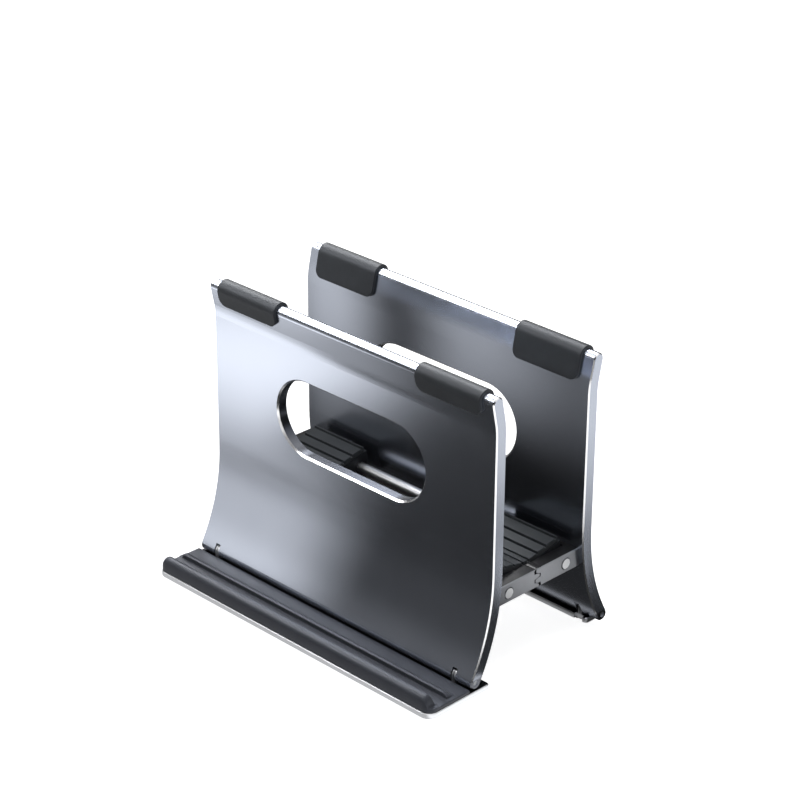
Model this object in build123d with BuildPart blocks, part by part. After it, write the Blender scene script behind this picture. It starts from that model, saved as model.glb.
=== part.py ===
"""Vertical laptop stand: two flared plates on geared arms tilt in together and grip a laptop."""
import os
from math import acos, cos, pi, radians, sin, sqrt, tan

from build123d import *

os.makedirs("parts", exist_ok=True)

# Axes: X along the plates, Y from the ledge side (front) to the rear, Z up from the desk.

# Fits and clearances
same_body_fit = 0.02  # radial, round a pin or shaft that stays still in its bore
running_fit = 0.05  # radial, round a pin or shaft that turns in its bore
foot_gap = 0.3  # plate foot to the sheet that it stands on
side_gap = 0.3  # arm to the carrier beside it
stop_gap = 0.3  # arm flange to the carrier at each end of the swing
knuckle_gap = 0.3  # hinge knuckle to the sides of its notch

# Plates
plate_length = 160.0
plate_thickness = 5.5
plate_top = 126.4
mouth = 46.9  # between the flat stretches of the two plates
lip_angle = 12.0
lip_bend_radius = 27.5  # on the plate's centre line
lip_run = 8.2
foot_angle = 29.4
foot_radius = 89.1  # on the plate's centre line
plate_chamfer = 0.5
slot_end_margin = 37.85  # plate end to slot
slot_lip_margin = 13.0  # slot to the start of the lip's bend
slot_foot_margin = 14.0  # slot to the start of the foot's bend
slot_chamfer = 0.7

# Rubber saddles on the top edges
edge_pad_length = 34.0
edge_pad_inset = 6.2  # plate end to pad
edge_pad_thickness = 1.4
edge_pad_outer_drop = 9.0  # below the plate's top edge
edge_pad_inner_drop = 12.3
edge_pad_corner = 3.4

# Geared arms
pivot_inset = 6.7  # plate's inner face to the pivot
pivot_drop = 12.7  # start of the foot's bend to the pivot
gear_teeth = 24
gear_addendum = 0.85  # in modules
gear_dedendum = 1.2  # in modules
gear_backlash = 0.3
pressure_angle = radians(20.0)
swing = 12.0  # degrees from open to closed
arm_height = 8.4
arm_thickness = 6.0
arm_inset = 2.8  # plate end to arm
arm_chamfer = 0.4
flange_thickness = 1.8
flange_length = 16.0

# Shafts and carriers
shaft_diameter = 5.2
shaft_proud = 0.3
shaft_chamfer = 0.4
carrier_length = 30.8
carrier_drop = 6.5  # pivots to the carriers' underside
carrier_chamfer = 0.5

# Stepped seat pads
seat_rise = 5.2  # pivots to the flat in the middle
seat_base = 2.2
seat_middle = 2.8  # width of the flat in the middle
seat_treads = 3  # on each side of the middle
seat_pitch = 5.1
seat_tilt = 10.0  # degrees
seat_riser = 0.42
seat_edge = 1.0  # narrow rib along each side
seat_groove = 0.5
seat_rib = 0.9
seat_inset = 0.4  # short of the carrier's ends
seat_margin = 1.4  # short of the carrier's sides

# Feet
strip_thickness = 0.5
strip_inset = 5.0  # ledge's front edge to the middle of its strip
strip_margin = 6.0  # short of each end of the sheet
strip_width = 7.0
sheet_thickness = 2.2
sheet_corner = 4.5  # on the outer side
sheet_tail_corner = 1.5
sheet_chamfer = 0.3  # along the upper edges
ledge_overhang = 0.65  # past each end of the plates
ledge_reach = 26.7  # outwards from the hinge
ledge_tail = 7.5  # inwards from the hinge
rear_inset = 5.5  # short of each end of the plates
rear_reach = 6.3
rear_tail = 3.4
relief_width = 4.4
relief_depth = 1.2

# Foot hinges
pin_diameter = 2.4
pin_length = 16.0
pin_recess = 0.4
notch_inset = 9.9  # plate end to the middle of a notch
notch_room = 0.95  # above the knuckle
knuckle_radius = 2.4
knuckle_leaf = 0.8
knuckle_slit = 0.4

# Tray on the ledge
tray_margin = 0.3
tray_base = 1.75  # below the groove
tray_flat = 1.6  # beside the foot
tray_rib_width = 4.6
tray_rib_height = 6.7
tray_cove = 1.6  # radius at the foot of the rib
tray_ridge_height = 3.8
tray_ridge_width = 1.3
tray_ridge_fall = 2.9
tray_flat_width = 7.1
tray_foot_gap = 3.6  # hinge to the tray's inner edge

# Positions that follow from the sizes above
half_length = plate_length / 2
half_thick = plate_thickness / 2
sheet_top = strip_thickness + sheet_thickness
pin_z = sheet_top + foot_gap + half_thick
spine_y = mouth / 2 + half_thick
bend_z = pin_z + foot_radius * sin(radians(foot_angle))
pin_y = spine_y + foot_radius * (1 - cos(radians(foot_angle)))
lip_end_z = plate_top - half_thick
lip_run_out = lip_run * sin(radians(lip_angle))
lip_run_up = lip_run * cos(radians(lip_angle))
lip_bend_out = lip_bend_radius * (1 - cos(radians(lip_angle)))
lip_bend_z = lip_end_z - lip_run_up - lip_bend_radius * sin(radians(lip_angle))
slot_top = lip_bend_z - slot_lip_margin
slot_bottom = bend_z + slot_foot_margin
edge_pad_centre_x = half_length - edge_pad_inset - edge_pad_length / 2
notch_x = half_length - notch_inset
centre_y = (ledge_reach - rear_reach) / 2

pitch_radius = mouth / 2 - pivot_inset
gear_module = 2 * pitch_radius / gear_teeth
base_radius = pitch_radius * cos(pressure_angle)
tip_radius = pitch_radius + gear_addendum * gear_module
root_radius = pitch_radius - gear_dedendum * gear_module
pivot_y = pitch_radius
pivot_z = bend_z - pivot_drop
seat_z = pivot_z + seat_rise
arm_outer_x = half_length - arm_inset
arm_inner_x = arm_outer_x - arm_thickness
carrier_outer_x = arm_inner_x - side_gap
carrier_bottom = pivot_z - carrier_drop
flange_y = mouth / 2 - flange_thickness
knuckle_width = 2 * knuckle_leaf + knuckle_slit


def across(x):
    """Plane across the stand at x: local x runs from the front to the rear, local y up."""
    return Plane(origin=(x, centre_y, 0), x_dir=(0, 1, 0), z_dir=(1, 0, 0))


def facing(y):
    """Upright plane at y, seen from the front: local x runs along the plates, local y up."""
    return Plane(origin=(0, centre_y + y, 0), x_dir=(1, 0, 0), z_dir=(0, -1, 0))


def plate_inner_y(z):
    """Distance from the middle to the plate's inner face at height z."""
    below = max(bend_z - z, 0)
    return spine_y + foot_radius - sqrt((foot_radius + half_thick) ** 2 - below**2)


def carrier_side_y(z):
    """Half width of a carrier at height z: a slope that the arm flange meets at both ends of the swing."""
    half_swing = radians(swing / 2)
    offset_y = flange_y - pivot_y
    reach = offset_y * cos(half_swing) - arm_height / 2 * sin(half_swing) - stop_gap
    return pivot_y + (reach - (z - pivot_z) * sin(half_swing)) / cos(half_swing)


def save(piece, name):
    """Label a piece and write its file."""
    piece.label = name
    export_step(piece, f"parts/{name}.step")


def plate_section(side, grow=0.0):
    """Section of one plate: lip, flat stretch and flared foot, with both edges fully rounded."""
    with BuildSketch() as section:
        with BuildLine():
            lip_y = spine_y + lip_bend_out
            lip = Line((side * (lip_y + lip_run_out), lip_end_z), (side * lip_y, lip_end_z - lip_run_up))
            lip_bend = JernArc(lip @ 1, lip % 1, lip_bend_radius, side * lip_angle)
            flat = Line(lip_bend @ 1, (side * spine_y, bend_z))
            JernArc(flat @ 1, flat % 1, foot_radius, side * foot_angle)
            offset(amount=half_thick + grow, side=Side.BOTH, mode=Mode.REPLACE)
        make_face()
    return section.sketch


def make_plate(side):
    """One plate with its slot, hinge notches and pin bores."""
    with BuildPart() as plate:
        with BuildSketch(across(-half_length)):
            add(plate_section(side))
        extrude(amount=plate_length)
        ends = plate.faces().filter_by(Axis.X)
        chamfer(ends.edges(), length=plate_chamfer)
        with BuildSketch(facing(side * spine_y)):
            with Locations((0, (slot_top + slot_bottom) / 2)):
                SlotOverall(plate_length - 2 * slot_end_margin, slot_top - slot_bottom)
        extrude(amount=plate_thickness, both=True, mode=Mode.SUBTRACT)
        slot_rims = plate.edges(Select.LAST).filter_by(Axis.Y, reverse=True)
        chamfer(slot_rims, length=slot_chamfer)
        with BuildSketch(facing(side * pin_y)):
            with Locations((-notch_x, pin_z), (notch_x, pin_z)):
                Rectangle(knuckle_width + 2 * knuckle_gap, 2 * (knuckle_radius + notch_room))
        extrude(amount=2 * plate_thickness, both=True, mode=Mode.SUBTRACT)
        for end in (-1, 1):
            with BuildSketch(across(end * half_length)):
                with Locations((side * pin_y, pin_z)):
                    Circle(pin_diameter / 2 + same_body_fit)
            extrude(amount=-end * (pin_recess + pin_length), mode=Mode.SUBTRACT)
    return plate.part


def make_edge_pad(side, end):
    """A rubber saddle that hugs the plate's top edge, with a deeper flap on the inner face."""
    centre_x = end * edge_pad_centre_x
    divide_y = side * (spine_y + lip_run_out)
    reach = 4 * plate_thickness
    with BuildPart() as flaps:
        with BuildSketch(facing(divide_y)):
            with Locations((centre_x, plate_top)):
                RectangleRounded(edge_pad_length, 2 * edge_pad_outer_drop, edge_pad_corner)
        extrude(amount=-side * reach)
        with BuildSketch(facing(divide_y)):
            with Locations((centre_x, plate_top)):
                RectangleRounded(edge_pad_length, 2 * edge_pad_inner_drop, edge_pad_corner)
        extrude(amount=side * reach)
    with BuildPart() as pad:
        with BuildSketch(across(centre_x - edge_pad_length / 2)):
            add(plate_section(side, edge_pad_thickness))
            add(plate_section(side), mode=Mode.SUBTRACT)
        extrude(amount=edge_pad_length)
        add(flaps.part, mode=Mode.INTERSECT)
    return pad.part


def tooth_half_angle(radius):
    """Half angle of a tooth at a radius, from the involute of the base circle."""
    slope = acos(base_radius / radius)
    at_pitch = pi / (2 * gear_teeth) - gear_backlash / (4 * pitch_radius)
    return at_pitch + tan(pressure_angle) - pressure_angle - tan(slope) + slope


def gear_section(side):
    """Toothed disc round one pivot; a quarter pitch of phase lets the front and rear teeth mesh."""
    radii = [base_radius + step * (tip_radius - base_radius) / 3 for step in range(4)]
    rising = [(r * cos(tooth_half_angle(r)), r * sin(tooth_half_angle(r))) for r in radii]
    falling = [(y, -z) for y, z in reversed(rising)]
    with BuildSketch() as tooth:
        with BuildLine():
            rise = Spline(*rising)
            fall = Spline(*falling)
            ThreePointArc(rise @ 1, (tip_radius, 0), fall @ 0)
            Polyline(fall @ 1, (0, 0), rise @ 0)
        make_face()
    mesh_angle = 0 if side < 0 else 180
    with BuildSketch() as gear:
        with Locations((side * pivot_y, pivot_z)):
            Circle(root_radius)
            with PolarLocations(0, gear_teeth, mesh_angle + 90 / gear_teeth):
                add(tooth.sketch)
            Circle(shaft_diameter / 2 + running_fit, mode=Mode.SUBTRACT)
    return gear.sketch


def make_arm(side, end):
    """A toothed arm with a flange that lies on the plate's inner face."""
    into_plate = plate_inner_y(pivot_z - arm_height / 2) + half_thick / 2
    arm_centre_x = end * (arm_inner_x + arm_outer_x) / 2
    with BuildPart() as band:
        with BuildSketch(facing(side * into_plate)) as bar:
            with Locations((arm_centre_x, pivot_z)):
                Rectangle(arm_thickness, arm_height)
            corners = bar.vertices().group_by(Axis.X)
            chamfer(corners[-1] if end > 0 else corners[0], length=arm_chamfer)
        extrude(amount=side * (into_plate - pivot_y + tip_radius))
    with BuildPart() as arm:
        with BuildSketch(across(end * arm_inner_x)):
            add(gear_section(side))
        extrude(amount=end * arm_thickness)
        add(band.part, mode=Mode.INTERSECT)
        with BuildSketch(across(end * arm_inner_x)):
            with Locations((side * (flange_y + into_plate) / 2, pivot_z)):
                Rectangle(into_plate - flange_y, arm_height)
        extrude(amount=-end * flange_length)
        with BuildSketch(across(end * (arm_inner_x - flange_length))):
            add(plate_section(side))
        extrude(amount=end * (flange_length + arm_thickness), mode=Mode.SUBTRACT)
    return arm.part


def make_hinge_pins(side):
    """The two pins in one plate's foot."""
    with BuildPart() as pins:
        for end in (-1, 1):
            with BuildSketch(across(end * (half_length - pin_recess))):
                with Locations((side * pin_y, pin_z)):
                    Circle(pin_diameter / 2)
            extrude(amount=-end * pin_length)
    return pins.part


def make_shaft(side):
    """One pivot shaft, a little proud of the arms at both ends."""
    half_shaft = arm_outer_x + shaft_proud
    with BuildPart() as shaft:
        with BuildSketch(across(-half_shaft)):
            with Locations((side * pivot_y, pivot_z)):
                Circle(shaft_diameter / 2)
        extrude(amount=2 * half_shaft)
        chamfer(shaft.edges().filter_by(GeomType.CIRCLE), length=shaft_chamfer)
    return shaft.part


seat_half_width = carrier_side_y(seat_z) - seat_margin
seat_slope = tan(radians(seat_tilt))
seat_step = seat_riser + (seat_pitch - seat_groove) * seat_slope


def carrier_top_z(y):
    """Height of the carriers' V-shaped top at a distance from the middle."""
    return seat_z - seat_base - seat_rib + y * seat_step / seat_pitch


def make_carrier(end):
    """A block that holds both shafts, with a V-shaped top."""
    low = carrier_side_y(carrier_bottom)
    high = carrier_side_y(seat_z)
    with BuildPart() as carrier:
        with BuildSketch(across(end * carrier_outer_x)):
            with BuildLine():
                Polyline(
                    (0, carrier_top_z(0)),
                    (high, carrier_top_z(high)),
                    (low, carrier_bottom),
                    (-low, carrier_bottom),
                    (-high, carrier_top_z(high)),
                    close=True,
                )
            make_face()
            with Locations((-pivot_y, pivot_z), (pivot_y, pivot_z)):
                Circle(shaft_diameter / 2 + same_body_fit, mode=Mode.SUBTRACT)
        extrude(amount=-end * carrier_length)
        lower_edges = carrier.edges().filter_by(Axis.X).group_by(Axis.Z)[0]
        chamfer(lower_edges, length=carrier_chamfer)
    return carrier.part


def seat_ribs():
    """Inner and outer end, as y and z, of each rib's top on one side of the middle, the edge rib last."""
    ribs = [((0, seat_z), (seat_middle / 2, seat_z))]
    edge_y = seat_half_width - seat_edge
    for tread in range(seat_treads):
        inner_y = seat_middle / 2 + seat_groove + tread * seat_pitch
        last = tread == seat_treads - 1
        outer_y = edge_y - seat_groove if last else inner_y + seat_pitch - seat_groove
        inner_z = seat_z + tread * seat_step
        ribs.append(((inner_y, inner_z), (outer_y, inner_z + (outer_y - inner_y) * seat_slope)))
    edge_z = ribs[-1][1][1] + seat_riser
    ribs.append(((edge_y, edge_z), (seat_half_width, edge_z)))
    return ribs


def make_seat_pad(end):
    """Stepped rubber pad on a carrier: tilted treads that rise from the middle to both sides."""
    side_z = carrier_top_z(seat_half_width)
    with BuildPart() as pad:
        with BuildSketch(across(end * (carrier_outer_x - seat_inset))):
            with BuildLine():
                Polyline(
                    (0, carrier_top_z(0)),
                    (seat_half_width, side_z),
                    (seat_half_width, side_z + seat_base),
                    (0, carrier_top_z(0) + seat_base),
                    close=True,
                )
            make_face()
            for inner, outer in seat_ribs():
                with BuildLine():
                    Polyline(
                        (inner[0], carrier_top_z(inner[0]) + seat_base / 2),
                        inner,
                        outer,
                        (outer[0], carrier_top_z(outer[0]) + seat_base / 2),
                        close=True,
                    )
                make_face()
            mirror(about=Plane.YZ)
        extrude(amount=-end * (carrier_length - 2 * seat_inset))
    return pad.part


def round_corners(outline, side, radius):
    """Round the two corners of an outline that lie farthest to one side."""
    rows = outline.vertices().group_by(Axis.Y)
    fillet(rows[-1] if side > 0 else rows[0], radius)


def make_foot_sheet(side, length, reach, tail):
    """A flat sheet below one plate's foot with two forked knuckles for the hinge pins."""
    middle_y = side * (pin_y + (reach - tail) / 2)
    with BuildPart() as sheet:
        with BuildSketch(Plane.XY.offset(strip_thickness)) as outline:
            with Locations((0, centre_y + middle_y)):
                Rectangle(length, reach + tail)
            round_corners(outline, side, min(sheet_corner, (reach + tail) / 2))
            round_corners(outline, -side, sheet_tail_corner)
        extrude(amount=sheet_thickness)
        top_rim = sheet.edges().group_by(Axis.Z)[-1]
        chamfer(top_rim, length=sheet_chamfer)
        for end in (-1, 1):
            for leaf in (-1, 1):
                leaf_x = end * notch_x + leaf * (knuckle_slit + knuckle_leaf) / 2
                with BuildSketch(across(leaf_x)):
                    with Locations((side * pin_y, pin_z)):
                        Circle(knuckle_radius)
                    with Locations((side * pin_y, (pin_z + sheet_top - sheet_thickness / 2) / 2)):
                        Rectangle(2 * knuckle_radius, pin_z - sheet_top + sheet_thickness / 2)
                    with Locations((side * pin_y, pin_z)):
                        Circle(pin_diameter / 2 + running_fit, mode=Mode.SUBTRACT)
                extrude(amount=knuckle_leaf / 2, both=True)
    return sheet.part


def make_rear_foot():
    """The rear sheet, with a relief in its inner edge at each knuckle."""
    with BuildPart() as foot:
        add(make_foot_sheet(1, plate_length - 2 * rear_inset, rear_reach, rear_tail))
        with BuildSketch(Plane.XY):
            with Locations(*[(end * notch_x, centre_y + pin_y - rear_tail) for end in (-1, 1)]):
                Rectangle(relief_width, 2 * relief_depth)
        extrude(amount=sheet_top, mode=Mode.SUBTRACT)
    return foot.part


def make_tray(length):
    """The moulding on the ledge: rounded front rib, groove, small ridge and a flat beside the foot."""
    front_y = -pin_y - ledge_reach + tray_margin
    inner_y = -pin_y - tray_foot_gap
    ridge_y = inner_y - tray_flat_width - tray_ridge_fall - tray_ridge_width
    shoulder_z = sheet_top + tray_rib_height - tray_rib_width / 2
    floor_z = sheet_top + tray_base
    flat_z = sheet_top + tray_flat
    with BuildPart() as tray:
        with BuildSketch(across(-length / 2)):
            with BuildLine():
                front = Line((front_y, sheet_top), (front_y, shoulder_z))
                crown = JernArc(front @ 1, front % 1, tray_rib_width / 2, -180)
                back = Line(crown @ 1, (front_y + tray_rib_width, floor_z + tray_cove))
                cove = JernArc(back @ 1, back % 1, tray_cove, 90)
                Polyline(
                    cove @ 1,
                    (ridge_y, floor_z),
                    (ridge_y, sheet_top + tray_ridge_height),
                    (ridge_y + tray_ridge_width, sheet_top + tray_ridge_height),
                    (ridge_y + tray_ridge_width + tray_ridge_fall, flat_z),
                    (inner_y, flat_z),
                    (inner_y, sheet_top),
                    front @ 0,
                )
            make_face()
        extrude(amount=length)
        with BuildSketch(Plane.XY.offset(sheet_top)) as outline:
            with Locations((0, centre_y + (front_y + inner_y) / 2)):
                Rectangle(length, inner_y - front_y)
            round_corners(outline, -1, sheet_corner - tray_margin)
        extrude(amount=2 * tray_rib_height, mode=Mode.INTERSECT)
    return tray.part


def make_strip(side, length, from_pin):
    """An anti-slip rubber strip below a foot, its middle from_pin outwards of the hinge."""
    with BuildPart() as strip:
        with BuildSketch(Plane.XY):
            with Locations((0, centre_y + side * (pin_y + from_pin))):
                Rectangle(length - 2 * strip_margin, strip_width)
        extrude(amount=strip_thickness)
    return strip.part


for side, side_name in ((-1, "front"), (1, "rear")):
    save(make_plate(side), f"{side_name}_plate")
    save(make_hinge_pins(side), f"hinge_pins_{side_name}")
    save(make_shaft(side), f"shaft_{side_name}")
    for end, end_name in ((-1, "left"), (1, "right")):
        save(make_edge_pad(side, end), f"edge_pad_{side_name}_{end_name}")
        save(make_arm(side, end), f"arm_{side_name}_{end_name}")

for end, end_name in ((-1, "left"), (1, "right")):
    save(make_carrier(end), f"carrier_{end_name}")
    save(make_seat_pad(end), f"seat_pad_{end_name}")

ledge_length = plate_length + 2 * ledge_overhang
rear_length = plate_length - 2 * rear_inset
save(make_foot_sheet(-1, ledge_length, ledge_reach, ledge_tail), "ledge_plate")
save(make_tray(ledge_length - 2 * tray_margin), "ledge_tray")
save(make_strip(-1, ledge_length, ledge_reach - strip_inset), "ledge_strip_front")
save(make_strip(-1, ledge_length, 0), "ledge_strip_hinge")
save(make_rear_foot(), "rear_foot")
save(make_strip(1, rear_length, (rear_reach - rear_tail) / 2), "rear_foot_strip")
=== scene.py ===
"""Vertical laptop stand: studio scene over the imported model, with anodised plates, rubber pads and a black tray."""
from math import cos, radians, sin

import bpy
import numpy as np
from mathutils import Matrix, Vector


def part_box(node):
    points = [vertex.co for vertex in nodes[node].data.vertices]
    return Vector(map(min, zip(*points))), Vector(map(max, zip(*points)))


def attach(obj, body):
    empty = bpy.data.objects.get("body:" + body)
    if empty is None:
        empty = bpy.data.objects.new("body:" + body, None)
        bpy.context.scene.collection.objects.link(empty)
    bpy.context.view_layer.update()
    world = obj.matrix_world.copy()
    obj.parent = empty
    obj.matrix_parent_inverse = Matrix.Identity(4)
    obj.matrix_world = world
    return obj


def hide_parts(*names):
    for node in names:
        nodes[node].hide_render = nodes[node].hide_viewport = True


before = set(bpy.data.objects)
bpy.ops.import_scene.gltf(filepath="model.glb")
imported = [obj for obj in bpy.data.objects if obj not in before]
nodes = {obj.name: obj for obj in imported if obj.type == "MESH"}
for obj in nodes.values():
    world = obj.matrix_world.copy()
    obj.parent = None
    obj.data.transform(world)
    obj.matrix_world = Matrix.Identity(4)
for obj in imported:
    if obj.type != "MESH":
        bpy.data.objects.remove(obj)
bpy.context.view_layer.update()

MM = 0.001
# The plane half way between the plates, and half of the plates' length, in metres.
CLAMP_Y = 10.2 * MM
HALF_LENGTH = 80.0 * MM


# Node helpers
def feed(tree, value, target):
    """Feed an input socket with a colour of three numbers, a number or another socket."""
    if isinstance(value, tuple):
        target.default_value = (*value, 1)
    elif isinstance(value, (int, float)):
        target.default_value = value
    else:
        tree.links.new(value, target)


def add_node(tree, kind, values=None, **settings):
    """Node of a kind with its settings; its inputs, by name or number, are fed with the values."""
    node = tree.nodes.new(kind)
    for key, value in settings.items():
        setattr(node, key, value)
    for key, value in (values or {}).items():
        feed(tree, value, node.inputs[key])
    return node


def math_node(tree, operation, first, *others):
    """Result of a math operation taken from left to right over sockets and numbers."""
    for value in others:
        first = add_node(tree, "ShaderNodeMath", {0: first, 1: value}, operation=operation).outputs[0]
    return first


def product(tree, *values):
    """Product of sockets and numbers."""
    return math_node(tree, "MULTIPLY", *values)


def largest(tree, *values):
    """Largest of several sockets and numbers."""
    return math_node(tree, "MAXIMUM", *values)


def absolute(tree, value):
    """Size of a socket's value without its sign."""
    return add_node(tree, "ShaderNodeMath", {0: value}, operation="ABSOLUTE").outputs[0]


def step_node(tree, value, low, high):
    """Smooth step of a socket from 0 at low to 1 at high."""
    values = {"Value": value, "From Min": low, "From Max": high}
    return add_node(tree, "ShaderNodeMapRange", values, interpolation_type="SMOOTHSTEP").outputs["Result"]


def band(tree, value, start, low, high, stop):
    """Mask that rises from 0 at start to 1 at low, and falls from 1 at high to 0 at stop."""
    return product(tree, step_node(tree, value, start, low), step_node(tree, value, stop, high))


def window(tree, value, low, high, soft):
    """Mask that is 1 between low and high and falls to 0 over soft outside them."""
    return band(tree, value, low - soft, low, high, high + soft)


def mix_value(tree, factor, first, second):
    """Mix of two numbers, each a socket or a number, by a factor socket."""
    return add_node(tree, "ShaderNodeMix", {0: factor, 2: first, 3: second}).outputs[0]


def fade(tree, value, low, high, first, second):
    """Smooth change from first, where the socket is at low, to second, where it is at high."""
    return mix_value(tree, step_node(tree, value, low, high), first, second)


def mix_colour(tree, factor, first, second):
    """Mix of two colours, each a socket or three numbers, by a factor socket."""
    mix = add_node(tree, "ShaderNodeMix", {0: factor}, data_type="RGBA")
    targets = [socket for socket in mix.inputs if socket.type == "RGBA"]
    for value, target in zip((first, second), targets):
        feed(tree, value, target)
    return [socket for socket in mix.outputs if socket.type == "RGBA"][0]


def tone_ramp(tree, factor, dark, light):
    """Colour that goes from dark to light over the middle of a 0 to 1 socket."""
    ramp = add_node(tree, "ShaderNodeValToRGB", {"Fac": factor})
    for element, position, colour in zip(ramp.color_ramp.elements, (0.3, 0.7), (dark, light)):
        element.position = position
        element.color = (*colour, 1)
    return ramp.outputs["Color"]


def split_place(tree, output):
    """X, Y and Z sockets of the texture coordinates' Object or Normal output."""
    place = add_node(tree, "ShaderNodeTexCoord")
    return add_node(tree, "ShaderNodeSeparateXYZ", {0: place.outputs[output]}).outputs


def show_either(tree, factor, first, second):
    """Put out one of two shaders by a factor socket: the first at 0, the second at 1."""
    choose = add_node(tree, "ShaderNodeMixShader", {0: factor, 1: first, 2: second})
    out = next(node for node in tree.nodes if node.type.startswith("OUTPUT"))
    tree.links.new(choose.outputs[0], out.inputs["Surface"])


def new_material(name, values):
    """Material with a Principled shader of the given values; returns the material, its node tree and the shader."""
    mat = bpy.data.materials.new(name)
    mat.use_nodes = True
    tree = mat.node_tree
    tree.nodes.clear()
    shader = add_node(tree, "ShaderNodeBsdfPrincipled", values)
    add_node(tree, "ShaderNodeOutputMaterial", {"Surface": shader.outputs["BSDF"]})
    return mat, tree, shader


# Materials
METAL = {"Metallic": 1.0}
MATT = {"Roughness": 0.9, "Specular IOR Level": 0.0}


def make_grain_group():
    """Grain: fine noise and slow blotches over Object coordinates; puts out a fine height and a slow tone, 0 to 1."""
    group = bpy.data.node_groups.new("surface_grain", "ShaderNodeTree")
    noises = (("Fine Scale", "Height", 3.0), ("Slow Scale", "Tone", 2.0))
    for scale_name, out_name, _ in noises:
        group.interface.new_socket(scale_name, in_out="INPUT", socket_type="NodeSocketFloat")
        group.interface.new_socket(out_name, in_out="OUTPUT", socket_type="NodeSocketFloat")
    entry = add_node(group, "NodeGroupInput")
    leave = add_node(group, "NodeGroupOutput")
    place = add_node(group, "ShaderNodeTexCoord")
    for scale_name, out_name, detail in noises:
        values = {"Vector": place.outputs["Object"], "Scale": entry.outputs[scale_name],
                  "Detail": detail, "Roughness": 0.6}
        noise = add_node(group, "ShaderNodeTexNoise", values)
        group.links.new(noise.outputs["Fac"], leave.inputs[out_name])
    return group


GRAIN = make_grain_group()


def add_grain(tree, shader, fine, slow, depth, roughness, spread):
    """Grain on a shader: bump from the fine noise, depth in metres, and roughness that wanders by spread with the
    slow one; returns the slow tone and the roughness."""
    grain = add_node(tree, "ShaderNodeGroup", {"Fine Scale": fine, "Slow Scale": slow}, node_tree=GRAIN)
    height, tone = grain.outputs["Height"], grain.outputs["Tone"]
    bump = add_node(tree, "ShaderNodeBump", {"Strength": 0.35, "Distance": depth, "Height": height})
    feed(tree, bump.outputs["Normal"], shader.inputs["Normal"])
    values = {"Value": tone, "To Min": roughness - spread, "To Max": roughness + spread}
    rough = add_node(tree, "ShaderNodeMapRange", values).outputs["Result"]
    feed(tree, rough, shader.inputs["Roughness"])
    return tone, rough


def anodised_plate():
    """Grey anodised aluminium with a fine blast grain. The cut edges, which lie at 45 degrees along the plate's ends
    and round its slot, are bright and polished. The slot's wall and the plate's ends low down at the foot are painted
    dark as painted shade, and there the ends' polished cut fades out."""
    # The third colour is painted shade, for the slot's wall and the ends low down at the foot.
    polished, polished_rough, shade_colour = (0.88, 0.885, 0.9), 0.22, (0.12, 0.125, 0.14)
    foot_z, body_z = 6.5 * MM, 8.5 * MM
    mat, tree, shader = new_material("anodised_plate", METAL)
    tone, rough = add_grain(tree, shader, fine=5200, slow=35, depth=0.006 * MM, roughness=0.235, spread=0.02)
    base = tone_ramp(tree, tone, (0.522, 0.558, 0.64), (0.552, 0.588, 0.67))
    normal, spot = split_place(tree, "Normal"), split_place(tree, "Object")
    sideways, forward = absolute(tree, normal["X"]), absolute(tree, normal["Y"])
    far, z = absolute(tree, spot["X"]), spot["Z"]
    at_end = step_node(tree, far, HALF_LENGTH - 0.8 * MM, HALF_LENGTH - 0.6 * MM)
    near_slot = step_node(tree, far, 70 * MM, 65 * MM)
    slot_level = band(tree, z, 50 * MM, 52 * MM, 110 * MM, 112 * MM)
    # The polished cut on the ends fades out low at the foot, where painted shade takes over.
    end_cut = product(tree, band(tree, sideways, 0.45, 0.6, 0.8, 0.92), at_end, step_node(tree, z, foot_z, body_z))
    slot_cut = product(tree, band(tree, forward, 0.55, 0.65, 0.76, 0.85), slot_level)
    cut = largest(tree, end_cut, slot_cut)
    # Painted shade: the slot's wall and the ends low down at the foot are darkened.
    slot_wall_shade = product(tree, step_node(tree, forward, 0.5, 0.35), slot_level, near_slot)
    foot_end_shade = product(tree, step_node(tree, z, body_z, foot_z), step_node(tree, sideways, 0.4, 0.5))
    base = mix_colour(tree, largest(tree, slot_wall_shade, foot_end_shade), base, shade_colour)
    feed(tree, mix_colour(tree, cut, base, polished), shader.inputs["Base Color"])
    feed(tree, mix_value(tree, cut, rough, polished_rough), shader.inputs["Roughness"])
    return mat


def cut_sheet():
    """Sheet of the feet with a fine grain: bright metal on its cut edges, and its top painted near black as painted
    shade for the gap under the foot.
    """
    mat, tree, shader = new_material("cut_sheet", METAL)
    tone, _ = add_grain(tree, shader, fine=4200, slow=45, depth=0.01 * MM, roughness=0.36, spread=0.04)
    bright = tone_ramp(tree, tone, (0.74, 0.75, 0.775), (0.79, 0.8, 0.825))
    # Painted shade: faces that look up are painted near black, for the gap under the foot.
    top = step_node(tree, split_place(tree, "Normal")["Z"], 0.86, 0.93)
    feed(tree, mix_colour(tree, top, bright, (0.045, 0.046, 0.05)), shader.inputs["Base Color"])
    return mat


def soft_rubber(name, dark, light, roughness, depth=0.03 * MM, bloom=0.04):
    """Matt moulded rubber or plastic with a fine skin and a slight bloom."""
    mat, tree, shader = new_material(name, {
        "Specular IOR Level": 0.32, "Specular Tint": (0.86, 0.91, 1.0),
        "Sheen Weight": bloom, "Sheen Roughness": 0.5})
    tone, _ = add_grain(tree, shader, fine=3200, slow=90, depth=depth, roughness=roughness, spread=0.05)
    feed(tree, tone_ramp(tree, tone, dark, light), shader.inputs["Base Color"])
    return mat


def arm_grey_ends():
    """Arm: near black, with grey metal end faces."""
    mat, tree, shader = new_material("arm_grey_ends", {})
    tone, _ = add_grain(tree, shader, fine=3600, slow=120, depth=0.01 * MM, roughness=0.34, spread=0.04)
    grey = tone_ramp(tree, tone, (0.31, 0.32, 0.342), (0.355, 0.366, 0.39))
    face = step_node(tree, absolute(tree, split_place(tree, "Normal")["X"]), 0.6, 0.68)
    feed(tree, mix_colour(tree, face, (0.008, 0.008, 0.009), grey), shader.inputs["Base Color"])
    feed(tree, face, shader.inputs["Metallic"])
    return mat


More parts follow.
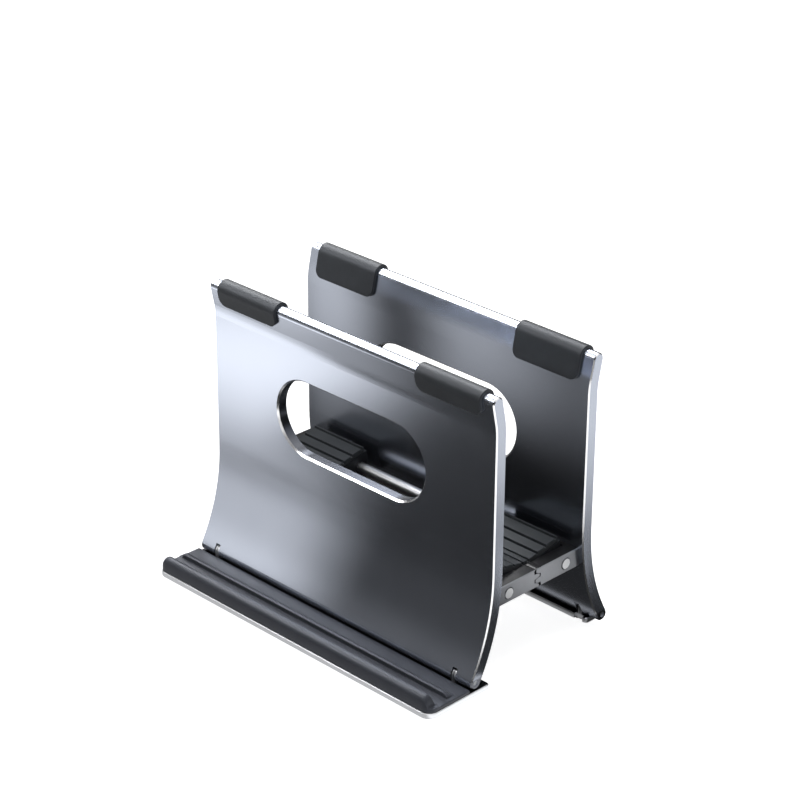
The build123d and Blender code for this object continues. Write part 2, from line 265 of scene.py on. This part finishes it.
def turned_steel(name, body, dark, light, roughness):
    """Turned metal with a fine grain: end faces from dark to light, a plain body, and chamfers between painted dark
    as painted shade. The bright steel's end faces are painted far lighter than its body, as a painted highlight.
    """
    # Painted shade on the chamfers between the end faces and the body.
    chamfer_shade = (0.16, 0.165, 0.175)
    mat, tree, shader = new_material(name, METAL)
    tone, _ = add_grain(tree, shader, fine=3600, slow=120, depth=0.008 * MM, roughness=roughness, spread=0.04)
    sideways = absolute(tree, split_place(tree, "Normal")["X"])
    # End faces take their own tone; on the bright steel it is a painted highlight.
    face = step_node(tree, sideways, 0.8, 0.9)
    ring = band(tree, sideways, 0.5, 0.6, 0.8, 0.9)
    turned = mix_colour(tree, face, body, tone_ramp(tree, tone, dark, light))
    feed(tree, mix_colour(tree, ring, turned, chamfer_shade), shader.inputs["Base Color"])
    return mat


PLATE = anodised_plate()
SHEET = cut_sheet()
PAD = soft_rubber("pad_rubber", (0.026, 0.0285, 0.0325), (0.033, 0.0365, 0.0415), roughness=0.48, bloom=0.1)
TRAY = soft_rubber("tray_plastic", (0.052, 0.0555, 0.068), (0.062, 0.0665, 0.081), roughness=0.42, bloom=0.06)
SEAT = soft_rubber("seat_rubber", (0.026, 0.029, 0.031), (0.033, 0.0365, 0.039), roughness=0.6, depth=0.06 * MM)
BLOCK = soft_rubber("carrier_plastic", (0.008, 0.0088, 0.011), (0.011, 0.012, 0.0145), roughness=0.5)
ARM = arm_grey_ends()
# Bright steel: end faces painted far lighter than the body, as a painted highlight.
STEEL = turned_steel("bright_steel", (0.56, 0.57, 0.59), (0.84, 0.85, 0.87), (0.9, 0.91, 0.93), roughness=0.34)
PIN = turned_steel("dull_pin", (0.4, 0.405, 0.42), (0.36, 0.365, 0.38), (0.42, 0.425, 0.44), roughness=0.4)

# Each node takes the finish of the longest name here that its own name starts with.
FINISHES = {
    "front_plate": PLATE, "rear_plate": PLATE, "ledge_plate": SHEET, "rear_foot": SHEET,
    "edge_pad": PAD, "ledge_tray": TRAY, "ledge_strip": PAD, "rear_foot_strip": PAD,
    "seat_pad": SEAT, "carrier": BLOCK, "arm": ARM, "shaft": STEEL, "hinge_pins": PIN,
}
for node_name, node in nodes.items():
    finish = max((key for key in FINISHES if node_name.startswith(key)), key=len)
    node.data.materials.clear()
    node.data.materials.append(FINISHES[finish])


# New pieces, in millimetres until their points are made
def rounded_path(corners, radii, steps):
    """Closed path with its corners rounded: at each corner an arc of its radius that touches both sides, as steps
    points."""
    corners, radii = np.array(corners, float), np.array(radii, float)[:, None]
    before, after = np.roll(corners, 1, axis=0) - corners, np.roll(corners, -1, axis=0) - corners
    before /= np.linalg.norm(before, axis=1, keepdims=True)
    after /= np.linalg.norm(after, axis=1, keepdims=True)
    half_angle = np.arccos(np.clip((before * after).sum(axis=1, keepdims=True), -1, 1)) / 2
    middle = before + after
    middle /= np.linalg.norm(middle, axis=1, keepdims=True)
    centre = corners + middle * radii / np.sin(half_angle)
    start = corners + before * radii / np.tan(half_angle) - centre
    end = corners + after * radii / np.tan(half_angle) - centre
    share = np.linspace(0, 1, steps)[None, :, None]
    sweep = (np.pi - 2 * half_angle)[:, :, None]
    weight_start = np.sin((1 - share) * sweep) / np.sin(sweep)
    weight_end = np.sin(share * sweep) / np.sin(sweep)
    arcs = centre[:, None, :] + weight_start * start[:, None, :] + weight_end * end[:, None, :]
    return arcs.reshape(-1, 2)


def grid_points(x, y, z):
    """Points of a grid in row order, in metres, from millimetres in arrays that spread to one shape."""
    return np.stack(np.broadcast_arrays(x, y, z), axis=-1).reshape(-1, 3) * MM


def grid_faces(rows, columns, wrap):
    """Quads of a grid of points in row order; wrap joins the last column to the first."""
    across = columns if wrap else columns - 1
    row, column = np.meshgrid(np.arange(rows - 1), np.arange(across), indexing="ij")
    beside = (column + 1) % columns
    this_row, next_row = row * columns, (row + 1) * columns
    quads = np.stack([this_row + column, this_row + beside, next_row + beside, next_row + column], axis=-1)
    return quads.reshape(-1, 4).tolist()


def swept_faces(rows, columns):
    """Faces of a closed section of so many columns carried through rows: its sides and both end caps."""
    first_cap, last_cap = range(columns - 1, -1, -1), range((rows - 1) * columns, rows * columns)
    return grid_faces(rows, columns, True) + [list(first_cap), list(last_cap)]


def new_object(name, points, faces, finish):
    """Mesh object at the origin with one material."""
    mesh = bpy.data.meshes.new(name)
    mesh.from_pydata(points, [], faces)
    mesh.materials.append(finish)
    made = bpy.data.objects.new(name, mesh)
    bpy.context.scene.collection.objects.link(made)
    return made


def new_piece(name, points, faces, node_names, body, finish, smooth=True):
    """Piece at the origin that stands for CAD nodes and moves with their body."""
    piece = new_object(name, points.tolist(), faces, finish)
    polygons = piece.data.polygons
    polygons.foreach_set("use_smooth", np.full(len(polygons), smooth))
    piece.data.update()
    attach(piece, body)
    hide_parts(*node_names)
    return piece


def soften(piece, name, width, segments, angle):
    """Round a piece's edges sharper than an angle in degrees by a bevel of a width in millimetres."""
    soft = piece.modifiers.new(name, "BEVEL")
    soft.width, soft.segments = width * MM, segments
    soft.limit_method, soft.angle_limit = "ANGLE", radians(angle)


def make_tray():
    """Ledge tray: a rounded section carried along X. Near each end what stands up sinks to the floor on a round nose,
    the front moves back on a quarter circle, and the section shrinks on a smaller one."""
    low, high = (np.array(corner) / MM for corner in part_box("ledge_tray"))
    half, front, inner, bottom, top = high[0], low[1], high[1], low[2], high[2]
    rib, ridge, crest, ramp = front + 4.6, inner - 11.3, inner - 10.0, inner - 7.1
    floor_z, flat_z, ridge_z = bottom + 1.75, bottom + 1.6, bottom + 3.8
    crown = (rib - front) / 2 - 0.01
    # Corners of the section: y, z and radius
    section = np.array([
        (front, bottom, 0.5), (front, top, crown), (rib, top, crown), (rib, floor_z, 1.6),
        (ridge, floor_z, 0.3), (ridge, ridge_z, 0.5), (crest, ridge_z, 0.7), (ramp, flat_z, 2.0),
        (inner, flat_z, 0.5), (inner, bottom, 0.5)])
    path = rounded_path(section[:, :2], section[:, 2], 12)
    along = np.roll(path, -1, axis=0) - np.roll(path, 1, axis=0)
    outward = np.stack([-along[:, 1], along[:, 0]], axis=1) / np.linalg.norm(along, axis=1, keepdims=True)
    # Radii at the ends: of the section's edge, of the front corner in plan and of the nose, which ends at set_back
    soft, plan, nose, set_back, drop = 0.45, 4.2, 2.6, 1.9, 0.97
    nose_end, plain_end = half - set_back, half - 12
    nose_start = nose_end - nose
    turn = np.linspace(0, np.pi / 2, 6)
    quarter = np.sin(np.linspace(0, np.pi / 2, 14))
    reach = np.concatenate([
        np.linspace(0, plain_end, 4)[:-1], np.linspace(plain_end, nose_start, 5)[:-1],
        (nose_start + nose * quarter)[:-1], np.linspace(nose_end, half - soft, 7)[:-1],
        half - soft + soft * np.sin(turn)])
    inset = np.concatenate([np.zeros(len(reach) - len(turn)), soft * (1 - np.cos(turn))])
    x = np.concatenate([-reach[:0:-1], reach])[:, None]
    inset = np.concatenate([inset[:0:-1], inset])
    y, z = np.moveaxis(path[None] - inset[:, None, None] * outward[None], -1, 0)
    share = np.clip((np.abs(x) - nose_start) / nose, 0, 1)
    sunk = drop * (1 - np.sqrt(1 - share**2)) * np.maximum(z - floor_z, 0)
    corner = np.clip((np.abs(x) - half + plan) / plan, 0, 1)
    shifted = plan * (1 - np.sqrt(1 - corner**2)) * np.clip(1 - (y - front) / (2 * plan), 0, 1)
    faces = [face[::-1] for face in swept_faces(len(x), len(path))]
    new_piece("moulded_tray", grid_points(x, y + shifted, z - sunk), faces, ["ledge_tray"], "ledge", TRAY)


def make_saddle(side, end):
    """Rubber saddle: a skin at one distance from the plate's middle line, over the lip's round top and down both
    faces, whose lower corners are quarter circles; it is then thickened and its rims are rounded."""
    # The plate: its lip's lean, bend radius and straight run, half its thickness, its middle line and its top
    lean, bend, run, half_thick, spine, plate_top = radians(12), 27.5, 8.2, 2.75, 26.2, 126.4
    # The saddle: its thickness, gap, length, corner radius, reach down both faces and distance to the plate's end
    thick, gap, length, corner, outer_reach, inner_reach, end_gap = 1.38, 0.02, 34.0, 3.4, 9.0, 12.3, 6.2
    away = half_thick + gap + thick / 2
    lip_z = plate_top - half_thick
    join_z = lip_z - run * cos(lean)
    lip_y = spine + bend * (1 - cos(lean)) + run * sin(lean)
    bend_z = join_z - bend * sin(lean)
    flat = length / 2 - corner
    edge = flat + corner * np.sin(np.linspace(0, np.pi / 2, 10))
    x = np.concatenate([-edge[::-1], np.linspace(-flat, flat, 8)[1:-1], edge])[:, None]
    past = np.maximum(np.abs(x) - flat, 0)
    lift = corner - np.sqrt(np.maximum(corner**2 - past**2, 0))
    share = np.linspace(0, 1, 9)[None]
    outer_top, inner_top = lip_z - away * sin(lean), lip_z + away * sin(lean)
    outer_z = (plate_top - outer_reach + lift) * (1 - share) + outer_top * share
    outer_y = lip_y + away * cos(lean) - (outer_top - outer_z) * np.tan(lean)
    turn = (np.linspace(0, np.pi, 17)[1:-1] - lean)[None] + 0 * lift
    over_y, over_z = lip_y + away * np.cos(turn), lip_z + away * np.sin(turn)
    inner_z = inner_top * (1 - share) + (plate_top - inner_reach + lift) * share
    straight = lip_y - away * cos(lean) - (inner_top - inner_z) * np.tan(lean)
    curved = spine + bend - np.sqrt((bend + away) ** 2 - (inner_z - bend_z) ** 2)
    inner_y = np.where(inner_z > join_z + away * sin(lean), straight, curved)
    y = np.concatenate([outer_y, over_y, inner_y], axis=1)
    z = np.concatenate([outer_z, over_z, inner_z], axis=1)
    centre_x = end * (HALF_LENGTH / MM - end_gap - length / 2)
    points = grid_points(centre_x + x, CLAMP_Y / MM + side * y, z)
    faces = grid_faces(*y.shape, False)
    if side < 0:
        faces = [face[::-1] for face in faces]
    place = "front" if side < 0 else "rear"
    name = f"edge_pad_{place}_{'left' if end < 0 else 'right'}"
    saddle_name, body = name.replace("edge_pad", "rubber_saddle"), f"{place}_clamp"
    piece = new_piece(saddle_name, points, faces, [name], body, PAD)
    shell = piece.modifiers.new("thickness", "SOLIDIFY")
    shell.thickness, shell.offset = thick * MM, 0
    soften(piece, "soft_rims", width=0.4, segments=3, angle=50)


def make_seat(end_name):
    """Seat pad: a section carried along X. From the flat in the middle, tilted treads step up to both sides, parted
    by grooves cut into the base, with a narrow rib along each side."""
    low, high = (np.array(corner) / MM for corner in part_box(f"seat_pad_{end_name}"))
    half, middle, bottom = (high[1] - low[1]) / 2, (high[1] + low[1]) / 2, low[2]
    flat_z, floor_z, flat_half, first_tread = bottom + 3.1, bottom + 1.45, 1.2, 2.1
    treads, pitch, tilt, riser, groove, rib = 3, 5.1, np.tan(radians(10)), 0.42, 0.9, 0.8
    tread_width, tread_lift = pitch - 0.5, 0.2
    step = riser + tread_width * tilt
    start = first_tread + pitch * np.arange(treads)
    stop = np.append(start[:-1] + pitch - groove, half - rib - groove)
    tread_y = np.stack([start, stop], axis=1)
    tread_z = flat_z + step * np.arange(treads)[:, None] + (tread_y - start[:, None] + tread_lift) * tilt
    rib_z = tread_z[-1, 1] + riser
    top_y = np.concatenate([[0, flat_half], tread_y.ravel(), [half - rib, half]])
    top_z = np.concatenate([[flat_z, flat_z], tread_z.ravel(), [rib_z, rib_z]])
    tops = np.stack([top_y, top_z], axis=1)
    groove_y = top_y[1:-1]
    floors = np.stack([groove_y, floor_z + groove_y * step / pitch], axis=1)
    near_top, far_top = tops[1:-1:2], tops[2:-1:2]
    grooves = np.stack([near_top, floors[::2], floors[1::2], far_top], axis=1).reshape(-1, 2)
    right = np.concatenate([tops[:1], grooves, tops[-1:], [(half, bottom + half * step / pitch)]])
    path = np.concatenate([[(0, bottom)], right[::-1], right[1:] * (-1, 1)])
    ends = np.array([low[0], high[0]])[:, None]
    points = grid_points(ends, middle + path[:, 0], path[:, 1])
    faces = swept_faces(len(ends), len(path))
    seat_name, node_names = f"ribbed_seat_{end_name}", [f"seat_pad_{end_name}"]
    piece = new_piece(seat_name, points, faces, node_names, "seat", SEAT, smooth=False)
    soften(piece, "soft_edges", width=0.14, segments=2, angle=40)


make_tray()
for end_name in ("left", "right"):
    make_seat(end_name)
for side in (-1, 1):
    for end in (-1, 1):
        make_saddle(side, end)


# Stage, in metres
QUAD = [(0, 1, 2, 3)]


def level(half, height):
    """Corners of a level square round the middle at a height."""
    return [(-half, -half, height), (half, -half, height), (half, half, height), (-half, half, height)]


def upright(start, end, low, high):
    """Corners of an upright rectangle over the line from start to end, between two heights."""
    return [(*start, low), (*end, low), (*end, high), (*start, high)]


def seen_ray(tree):
    """Socket that is 1 for rays that show the background: from the camera, and by reflection or through glass."""
    ray = add_node(tree, "ShaderNodeLightPath").outputs
    return largest(tree, ray["Is Camera Ray"], ray["Is Glossy Ray"], ray["Is Transmission Ray"])


def make_floor():
    """Pale floor that keeps the object's shadow and is white to the camera and in reflections."""
    mat, tree, shader = new_material("studio_floor", {**MATT, "Base Color": (0.8, 0.8, 0.8)})
    plane = new_object("floor", level(3, 0), QUAD, mat)
    white = add_node(tree, "ShaderNodeEmission", {"Strength": 0.86})
    lit = add_node(tree, "ShaderNodeAddShader", {0: white.outputs[0], 1: shader.outputs["BSDF"]})
    show_either(tree, seen_ray(tree), shader.outputs["BSDF"], lit.outputs[0])


def make_card(name, corners):
    """Black card for reflections only, from its four corners; returns the tree, the shader and the place's
    sockets."""
    mat, tree, shader = new_material(name, {**MATT, "Base Color": (0.01, 0.01, 0.01)})
    card = new_object(name, corners, QUAD, mat)
    for ray in ("camera", "diffuse", "shadow", "transmission", "volume_scatter"):
        setattr(card, f"visible_{ray}", False)
    return tree, shader, split_place(tree, "Object")


def light_card(tree, shader, tone):
    """Make a card glow with a tone socket, where 1 is white."""
    joined = add_node(tree, "ShaderNodeCombineColor", dict.fromkeys(("Red", "Green", "Blue"), tone))
    feed(tree, joined.outputs[0], shader.inputs["Emission Color"])
    feed(tree, 1.0, shader.inputs["Emission Strength"])


def clear_back(tree, shader):
    """Make a card see-through from its back."""
    back = add_node(tree, "ShaderNodeNewGeometry").outputs["Backfacing"]
    clear = add_node(tree, "ShaderNodeBsdfTransparent")
    show_either(tree, back, shader.outputs["BSDF"], clear.outputs[0])


def make_floor_card():
    """Card just over the floor, black round the stand. It is bright past a slanted line at the front left, apart from
    a dark patch, and at the right, in the front right corner, beside the ledge's edges, behind the rear foot and
    where the arms' end faces look; y is counted from the plane half way between the plates."""
    slant_x, slant_y, right_y = 0.825, 0.565, 0.9
    arm_x, arm_slope = 0.0785, 1.01
    black, patch_depth, panel_tone, corner_tone = 0.027, 0.95, 1.86, 1.35
    front_tone, end_tone, behind_tone, arm_tone = 0.6, 1.3, 0.3, 1.6
    tree, shader, spot = make_card("floor_card", level(1, 0.3 * MM))
    x, y = spot["X"], math_node(tree, "SUBTRACT", spot["Y"], CLAMP_Y)
    slant = math_node(tree, "SUBTRACT", product(tree, x, slant_x), product(tree, y, slant_y))
    patch = product(tree, window(tree, slant, -0.042, 0.02, 0.012), window(tree, y, -0.156, -0.124, 0.014))
    round_patch = math_node(tree, "SUBTRACT", 1.0, product(tree, patch, patch_depth))
    front_left = product(tree, step_node(tree, slant, 0.016, -0.045), step_node(tree, y, -0.06, -0.165))
    panel = product(tree, front_left, product(tree, round_patch, panel_tone))
    right = step_node(tree, math_node(tree, "ADD", x, product(tree, y, right_y)), 0.15, 0.36)
    corner = product(tree, step_node(tree, x, 0.089, 0.096), step_node(tree, y, -0.03, -0.045))
    ledge_front = product(tree, window(tree, x, -0.095, 0.0805, 0.001), window(tree, y, -0.0695, -0.062, 0.001))
    ledge_end = product(tree, window(tree, x, 0.0805, 0.088, 0.001), window(tree, y, -0.068, -0.026, 0.001))
    behind = window(tree, y, 0.0325, 0.0345, 0.0005)
    along_arm = math_node(tree, "SUBTRACT", y, product(tree, math_node(tree, "SUBTRACT", x, arm_x), arm_slope))
    arms = product(tree, window(tree, x, 0.116, 0.142, 0.006), window(tree, along_arm, -0.013, 0.02, 0.003))
    masks = ((corner, corner_tone), (ledge_end, end_tone), (ledge_front, front_tone), (behind, behind_tone),
             (arms, arm_tone))
    tone = largest(tree, panel, right, *(product(tree, mask, strength) for mask, strength in masks))
    light_card(tree, shader, math_node(tree, "ADD", tone, black))


def make_standing_card():
    """Card that stands at the front left: grey low down on its left part, black on its right part and higher up."""
    edge, along = Vector((-0.205, -0.255)), Vector((0.766, -0.643))
    tree, shader, spot = make_card("standing_card", upright(edge - along * 0.5, edge + along * 0.7, 0, 0.5))
    run = math_node(tree, "ADD", product(tree, spot["X"], along.x), product(tree, spot["Y"], along.y))
    edge_run = edge.dot(along)
    on_right = step_node(tree, run, edge_run - 0.04, edge_run + 0.03)
    grey = fade(tree, spot["Z"], 0.02, 0.12, 0.75, 0.1)
    black = fade(tree, spot["Z"], 0.02, 0.12, 0.03, 0.05)
    light_card(tree, shader, mix_value(tree, on_right, grey, black))


def make_low_card():
    """Low strip over the ledge that only the curved foot of the front plate sees: grey at the left, dark at the
    right, a little lighter low down and darker near its top."""
    front = CLAMP_Y - 0.05
    tree, shader, spot = make_card("low_card", upright((0.078, front), (-0.13, front), 0.01, 0.0378))
    x, z = spot["X"], spot["Z"]
    on_right = step_node(tree, x, -0.057, 0.003)
    low_light = product(tree, step_node(tree, z, 0.022, 0.013), mix_value(tree, on_right, 0.22, 0.06))
    tone = math_node(tree, "ADD", mix_value(tree, on_right, 0.8, 0.062), low_light)
    top_shade = fade(tree, z, 0.03, 0.0318, 1.0, fade(tree, z, 0.033, 0.038, 0.42, 0.62))
    light_card(tree, shader, product(tree, tone, top_shade))
    clear_back(tree, shader)


def make_gap_card():
    """Card in the middle of the gap that only the rear plate's inner face sees: two light parts, at the left and
    right of the middle, that fade downwards to black; a small bright patch, opposite the rear slot, lights the rear
    shaft."""
    spark_tone = 2.3
    tree, shader, spot = make_card("gap_card", upright((0.07, CLAMP_Y), (-0.14, CLAMP_Y), 0, 0.115))
    x, z = spot["X"], spot["Z"]
    left = product(tree, step_node(tree, x, -0.048, -0.088), fade(tree, z, 0.004, 0.1, 0.02, 0.72))
    hump = product(tree, step_node(tree, x, -0.046, -0.006), fade(tree, x, 0.0, 0.058, 1.0, 0.2))
    right = product(tree, hump, fade(tree, z, 0.052, 0.1, 0.0, 0.43))
    base = fade(tree, z, 0.045, 0.095, 0.006, 0.065)
    spark = product(tree, band(tree, x, -0.072, -0.034, -0.02, -0.012), window(tree, z, 0.055, 0.068, 0.004))
    light_card(tree, shader, math_node(tree, "ADD", left, right, base, product(tree, spark, spark_tone)))
    clear_back(tree, shader)


def make_rim_card():
    """White card high up at the front left, for the polished rims and the rubber's crests, which face forward and
    up."""
    centre, aim = Vector((-0.235, -0.178, 0.297)), Vector((0, -0.019, 0.06))
    half_width, half_height = 0.09, 0.07
    toward = (aim - centre).normalized()
    across = toward.cross(Vector((0, 0, 1))).normalized() * half_width
    rise = across.cross(toward).normalized() * half_height
    corners = [tuple(centre + across * i + rise * j) for i, j in ((-1, -1), (1, -1), (1, 1), (-1, 1))]
    tree, shader, spot = make_card("rim_card", corners)
    light_card(tree, shader, fade(tree, spot["Z"], 0.24, 0.34, 8.0, 10.0))


def make_high_card():
    """White card high up at the back left, for the light bands on the rubber's rounded tops."""
    corners = [(-0.85, 0.05, 0.5), (-0.4, 0.5, 0.5), (-0.3, 0.35, 0.85), (-0.75, -0.1, 0.85)]
    tree, shader, spot = make_card("high_card", corners)
    light_card(tree, shader, fade(tree, spot["Z"], 0.48, 0.55, 1.0, 14.0))


def make_side_cards():
    """Grey card at the left end of the gap between the plates, and black ones far out at the right and behind the
    stand."""
    left_x, right_x, rear_y = -0.1, 0.55, 0.6
    tree, shader, spot = make_card("left_card", upright((left_x, -0.012), (left_x, 0.12), 0, 0.14))
    light_card(tree, shader, fade(tree, spot["Z"], 0.03, 0.11, 0.1, 0.62))
    make_card("right_card", upright((right_x, -0.7), (right_x, rear_y), 0, 0.45))
    make_card("rear_card", upright((-1.1, rear_y), (right_x, rear_y), 0, 0.46))


def make_world():
    """World: white to the camera and in reflections, soft grey light for the rest."""
    world = bpy.data.worlds.new("studio")
    bpy.context.scene.world = world
    world.use_nodes = True
    tree = world.node_tree
    tree.nodes.clear()
    add_node(tree, "ShaderNodeOutputWorld")
    soft = add_node(tree, "ShaderNodeBackground", {"Color": (0.97, 0.98, 1.0), "Strength": 0.3})
    white = add_node(tree, "ShaderNodeBackground", {"Color": (1, 1, 1), "Strength": 1.0})
    show_either(tree, seen_ray(tree), soft.outputs[0], white.outputs[0])


def add_softbox(name, place, aim, size, power):
    """Rectangular lamp at a place, turned to its aim; sizes in metres, power in watts."""
    lamp = bpy.data.lights.new(name, "AREA")
    lamp.shape = "RECTANGLE"
    lamp.size, lamp.size_y = size
    lamp.energy = power
    box = bpy.data.objects.new(name, lamp)
    box.location = place
    box.rotation_euler = (Vector(aim) - Vector(place)).to_track_quat("-Z", "Y").to_euler()
    box.visible_camera = False
    bpy.context.scene.collection.objects.link(box)


def make_camera():
    """Camera at the photo's angle: 45 degrees round from the front, 26 degrees up and a hair of roll, with a long
    lens."""
    around, above, roll = radians(44.735), radians(25.699), radians(0.386)
    focal_pixels, picture_pixels, sensor_mm = 2504.2, 800, 36
    # The camera's distance from its aim, the aim's height, and its shift to the left and up in the picture, in mm
    distance, height, shift, lift = 1030.7, 57.61, 0.076, 27.805
    back = Vector((sin(around) * cos(above), -cos(around) * cos(above), sin(above)))
    across = Vector((cos(around), sin(around), 0))
    rise = back.cross(across)
    aim = Vector((0, CLAMP_Y, height * MM)) - across * shift * MM + rise * lift * MM
    right = across * cos(roll) + rise * sin(roll)
    up = rise * cos(roll) - across * sin(roll)
    camera = bpy.data.cameras.new("camera")
    camera.sensor_width = sensor_mm
    camera.lens = focal_pixels / picture_pixels * sensor_mm
    camera.clip_start, camera.clip_end = 0.01, 20
    view = bpy.data.objects.new("camera", camera)
    turned = Matrix((right, up, back)).transposed().to_4x4()
    view.matrix_world = Matrix.Translation(aim + back * distance * MM) @ turned
    bpy.context.scene.collection.objects.link(view)
    bpy.context.scene.camera = view


make_floor()
make_floor_card()
make_standing_card()
make_low_card()
make_gap_card()
make_rim_card()
make_high_card()
make_side_cards()
make_world()
make_camera()
add_softbox("key_box", place=(-0.45, -0.55, 0.75), aim=(-0.02, -0.02, 0.05), size=(0.4, 0.5), power=1.2)
add_softbox("top_box", place=(0.05, 0.15, 0.9), aim=(0, 0, 0.05), size=(0.6, 0.6), power=4)
add_softbox("right_box", place=(0.75, 0.42, 0.2), aim=(0.05, 0, 0.04), size=(0.3, 0.3), power=0.5)

bpy.context.scene.view_settings.view_transform = "Standard"
